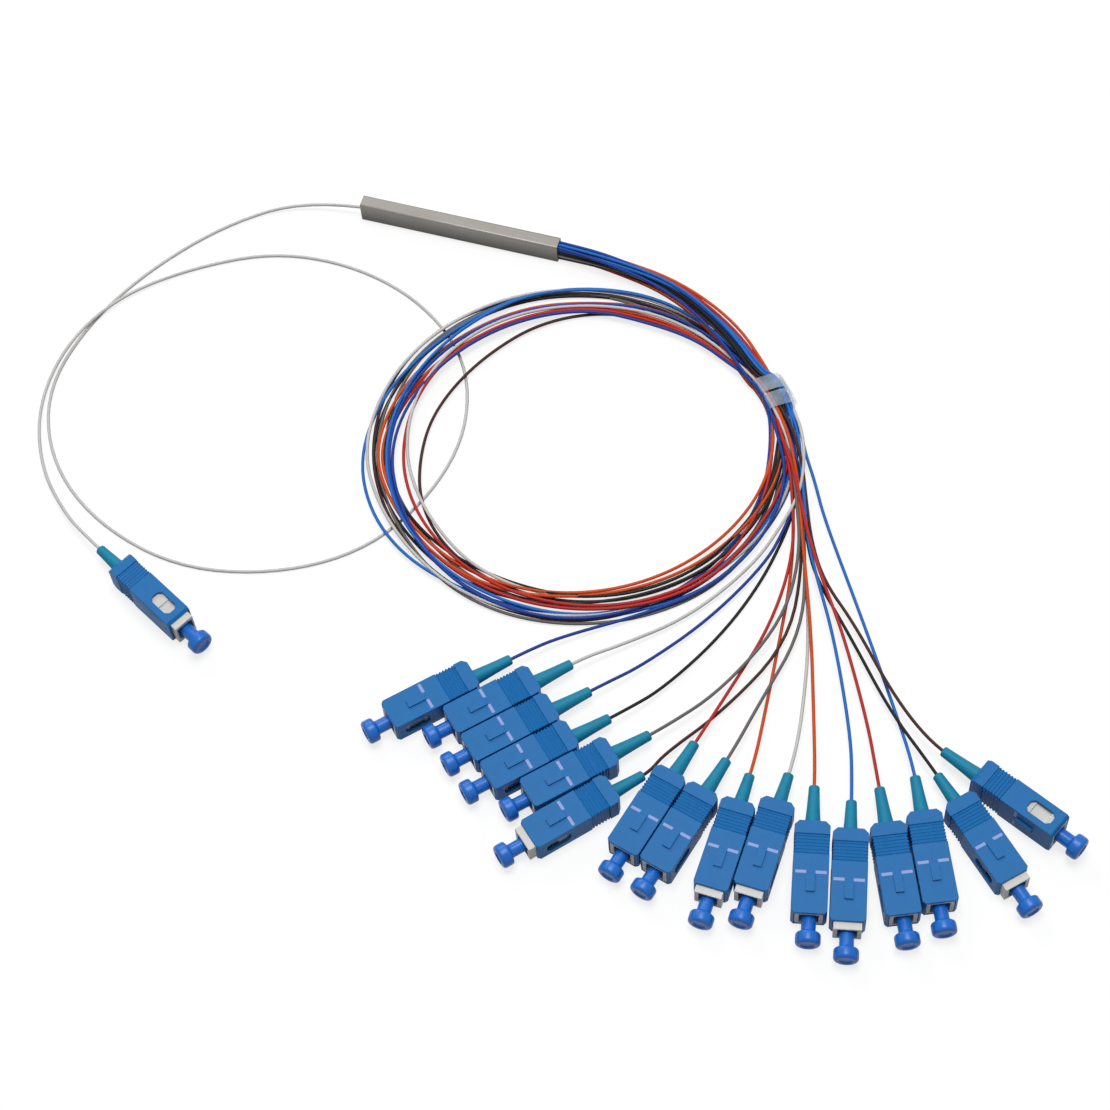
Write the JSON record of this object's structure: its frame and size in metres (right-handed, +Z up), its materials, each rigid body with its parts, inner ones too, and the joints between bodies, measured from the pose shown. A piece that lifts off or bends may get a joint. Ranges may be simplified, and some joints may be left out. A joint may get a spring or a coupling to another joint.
{
  "type": "fibre optic plc splitter",
  "caption": "Bare-tube planar fibre splitter: white input lead, taped coil of coloured output leads, and push-pull plugs with sliding grips and dust caps.",
  "frame": {"origin": "bottom centre of the metal tube, on the surface that the part lies on", "axes": "+X along the tube towards its output end, +Y across the tube, +Z up from the surface"},
  "size_m": [0.3095, 0.1914, 0.0091],
  "materials": {
    "tube_metal": "satin, warm grey, lightly brushed along its length",
    "seal": "dull black sealing compound",
    "chip_glass": "clear polished glass",
    "fibre": "bare glass fibre",
    "bundle_mix": "many thin coloured leads side by side",
    "tape": "thin translucent tape",
    "white_lead": "soft satin jacket",
    "blue_lead": "soft satin jacket",
    "black_lead": "soft satin jacket",
    "grey_lead": "soft satin jacket",
    "brown_lead": "soft satin jacket",
    "red_lead": "soft satin jacket",
    "orange_lead": "soft satin jacket",
    "frame_white": "white moulded plastic",
    "ferrule_ceramic": "polished white zirconia",
    "nickel": "nickel-plated brass",
    "spring_steel": "spring wire",
    "boot_blue": "soft moulded boot",
    "grip_blue": "moulded plastic, fine satin",
    "cap_blue": "soft glossy cap"
  },
  "bodies": {
    "harness": {"splitter_tube": "tube_metal", "input_seal": "seal", "output_seal": "seal", "plc_chip": "chip_glass", "input_fibre_array": "chip_glass", "output_fibre_array": "chip_glass", "bare_fibres": "fibre", "output_coil": "bundle_mix", "entry_bundle": "bundle_mix", "coil_tape": "tape", "input_lead": "white_lead", "blue_leads": "blue_lead", "white_leads": "white_lead", "black_leads": "black_lead", "grey_leads": "grey_lead", "brown_leads": "brown_lead", "red_leads": "red_lead", "orange_leads": "orange_lead", "plug_frames": "frame_white", "ferrules": "ferrule_ceramic", "ferrule_holders": "nickel", "springs": "spring_steel", "rear_bodies": "nickel", "boots": "boot_blue"},
    "grip_1": {"grip_1": "grip_blue"},
    "dust_cap_1": {"dust_cap_1": "cap_blue"},
    "grip_2": {"grip_2": "grip_blue"},
    "dust_cap_2": {"dust_cap_2": "cap_blue"},
    "grip_3": {"grip_3": "grip_blue"},
    "dust_cap_3": {"dust_cap_3": "cap_blue"},
    "grip_4": {"grip_4": "grip_blue"},
    "dust_cap_4": {"dust_cap_4": "cap_blue"},
    "grip_5": {"grip_5": "grip_blue"},
    "dust_cap_5": {"dust_cap_5": "cap_blue"},
    "grip_6": {"grip_6": "grip_blue"},
    "dust_cap_6": {"dust_cap_6": "cap_blue"},
    "grip_7": {"grip_7": "grip_blue"},
    "dust_cap_7": {"dust_cap_7": "cap_blue"},
    "grip_8": {"grip_8": "grip_blue"},
    "dust_cap_8": {"dust_cap_8": "cap_blue"},
    "grip_9": {"grip_9": "grip_blue"},
    "dust_cap_9": {"dust_cap_9": "cap_blue"},
    "grip_10": {"grip_10": "grip_blue"},
    "dust_cap_10": {"dust_cap_10": "cap_blue"},
    "grip_11": {"grip_11": "grip_blue"},
    "dust_cap_11": {"dust_cap_11": "cap_blue"},
    "grip_12": {"grip_12": "grip_blue"},
    "dust_cap_12": {"dust_cap_12": "cap_blue"},
    "grip_13": {"grip_13": "grip_blue"},
    "dust_cap_13": {"dust_cap_13": "cap_blue"},
    "grip_14": {"grip_14": "grip_blue"},
    "dust_cap_14": {"dust_cap_14": "cap_blue"},
    "grip_15": {"grip_15": "grip_blue"},
    "dust_cap_15": {"dust_cap_15": "cap_blue"},
    "grip_16": {"grip_16": "grip_blue"},
    "dust_cap_16": {"dust_cap_16": "cap_blue"},
    "grip_input": {"grip_input": "grip_blue"},
    "dust_cap_input": {"dust_cap_input": "cap_blue"}
  },
  "joints": [
    {"name": "grip_1_slide", "type": "slide", "parent": "harness", "child": "grip_1", "axis": [-0.6947, -0.7193, 0], "range_m": [-0.002, 0]},
    {"name": "dust_cap_1_pull", "type": "slide", "parent": "harness", "child": "dust_cap_1", "axis": [-0.6947, -0.7193, 0], "range_m": [0, 0.008]},
    {"name": "grip_2_slide", "type": "slide", "parent": "harness", "child": "grip_2", "axis": [-0.6947, -0.7193, 0], "range_m": [-0.002, 0]},
    {"name": "dust_cap_2_pull", "type": "slide", "parent": "harness", "child": "dust_cap_2", "axis": [-0.6947, -0.7193, 0], "range_m": [0, 0.008]},
    {"name": "grip_3_slide", "type": "slide", "parent": "harness", "child": "grip_3", "axis": [-0.6947, -0.7193, 0], "range_m": [-0.002, 0]},
    {"name": "dust_cap_3_pull", "type": "slide", "parent": "harness", "child": "dust_cap_3", "axis": [-0.6947, -0.7193, 0], "range_m": [0, 0.008]},
    {"name": "grip_4_slide", "type": "slide", "parent": "harness", "child": "grip_4", "axis": [-0.6947, -0.7193, 0], "range_m": [-0.002, 0]},
    {"name": "dust_cap_4_pull", "type": "slide", "parent": "harness", "child": "dust_cap_4", "axis": [-0.6947, -0.7193, 0], "range_m": [0, 0.008]},
    {"name": "grip_5_slide", "type": "slide", "parent": "harness", "child": "grip_5", "axis": [-0.6947, -0.7193, 0], "range_m": [-0.002, 0]},
    {"name": "dust_cap_5_pull", "type": "slide", "parent": "harness", "child": "dust_cap_5", "axis": [-0.6947, -0.7193, 0], "range_m": [0, 0.008]},
    {"name": "grip_6_slide", "type": "slide", "parent": "harness", "child": "grip_6", "axis": [-0.6691, -0.7431, 0], "range_m": [0, 0.002]},
    {"name": "dust_cap_6_pull", "type": "slide", "parent": "harness", "child": "dust_cap_6", "axis": [-0.6691, -0.7431, 0], "range_m": [0, 0.008]},
    {"name": "grip_7_slide", "type": "slide", "parent": "harness", "child": "grip_7", "axis": [-0.2588, -0.9659, 0], "range_m": [-0.002, 0]},
    {"name": "dust_cap_7_pull", "type": "slide", "parent": "harness", "child": "dust_cap_7", "axis": [-0.2588, -0.9659, 0], "range_m": [0, 0.008]},
    {"name": "grip_8_slide", "type": "slide", "parent": "harness", "child": "grip_8", "axis": [-0.2588, -0.9659, 0], "range_m": [-0.002, 0]},
    {"name": "dust_cap_8_pull", "type": "slide", "parent": "harness", "child": "dust_cap_8", "axis": [-0.2588, -0.9659, 0], "range_m": [0, 0.008]},
    {"name": "grip_9_slide", "type": "slide", "parent": "harness", "child": "grip_9", "axis": [-0.0349, -0.9994, 0], "range_m": [0, 0.002]},
    {"name": "dust_cap_9_pull", "type": "slide", "parent": "harness", "child": "dust_cap_9", "axis": [-0.0349, -0.9994, 0], "range_m": [0, 0.008]},
    {"name": "grip_10_slide", "type": "slide", "parent": "harness", "child": "grip_10", "axis": [-0.0349, -0.9994, 0], "range_m": [0, 0.002]},
    {"name": "dust_cap_10_pull", "type": "slide", "parent": "harness", "child": "dust_cap_10", "axis": [-0.0349, -0.9994, 0], "range_m": [0, 0.008]},
    {"name": "grip_11_slide", "type": "slide", "parent": "harness", "child": "grip_11", "axis": [0.2079, -0.9781, 0], "range_m": [-0.002, 0]},
    {"name": "dust_cap_11_pull", "type": "slide", "parent": "harness", "child": "dust_cap_11", "axis": [0.2079, -0.9781, 0], "range_m": [0, 0.008]},
    {"name": "grip_12_slide", "type": "slide", "parent": "harness", "child": "grip_12", "axis": [0.2079, -0.9781, 0], "range_m": [0, 0.002]},
    {"name": "dust_cap_12_pull", "type": "slide", "parent": "harness", "child": "dust_cap_12", "axis": [0.2079, -0.9781, 0], "range_m": [0, 0.008]},
    {"name": "grip_13_slide", "type": "slide", "parent": "harness", "child": "grip_13", "axis": [0.3907, -0.9205, 0], "range_m": [-0.002, 0]},
    {"name": "dust_cap_13_pull", "type": "slide", "parent": "harness", "child": "dust_cap_13", "axis": [0.3907, -0.9205, 0], "range_m": [0, 0.008]},
    {"name": "grip_14_slide", "type": "slide", "parent": "harness", "child": "grip_14", "axis": [0.3907, -0.9205, 0], "range_m": [-0.002, 0]},
    {"name": "dust_cap_14_pull", "type": "slide", "parent": "harness", "child": "dust_cap_14", "axis": [0.3907, -0.9205, 0], "range_m": [0, 0.008]},
    {"name": "grip_15_slide", "type": "slide", "parent": "harness", "child": "grip_15", "axis": [0.7193, -0.6947, 0], "range_m": [0, 0.002]},
    {"name": "dust_cap_15_pull", "type": "slide", "parent": "harness", "child": "dust_cap_15", "axis": [0.7193, -0.6947, 0], "range_m": [0, 0.008]},
    {"name": "grip_16_slide", "type": "slide", "parent": "harness", "child": "grip_16", "axis": [0.9135, -0.4067, 0], "range_m": [-0.002, 0]},
    {"name": "dust_cap_16_pull", "type": "slide", "parent": "harness", "child": "dust_cap_16", "axis": [0.9135, -0.4067, 0], "range_m": [0, 0.008]},
    {"name": "grip_input_slide", "type": "slide", "parent": "harness", "child": "grip_input", "axis": [0.8829, -0.4695, 0], "range_m": [0, 0.002]},
    {"name": "dust_cap_input_pull", "type": "slide", "parent": "harness", "child": "dust_cap_input", "axis": [0.8829, -0.4695, 0], "range_m": [0, 0.008]}
  ]
}
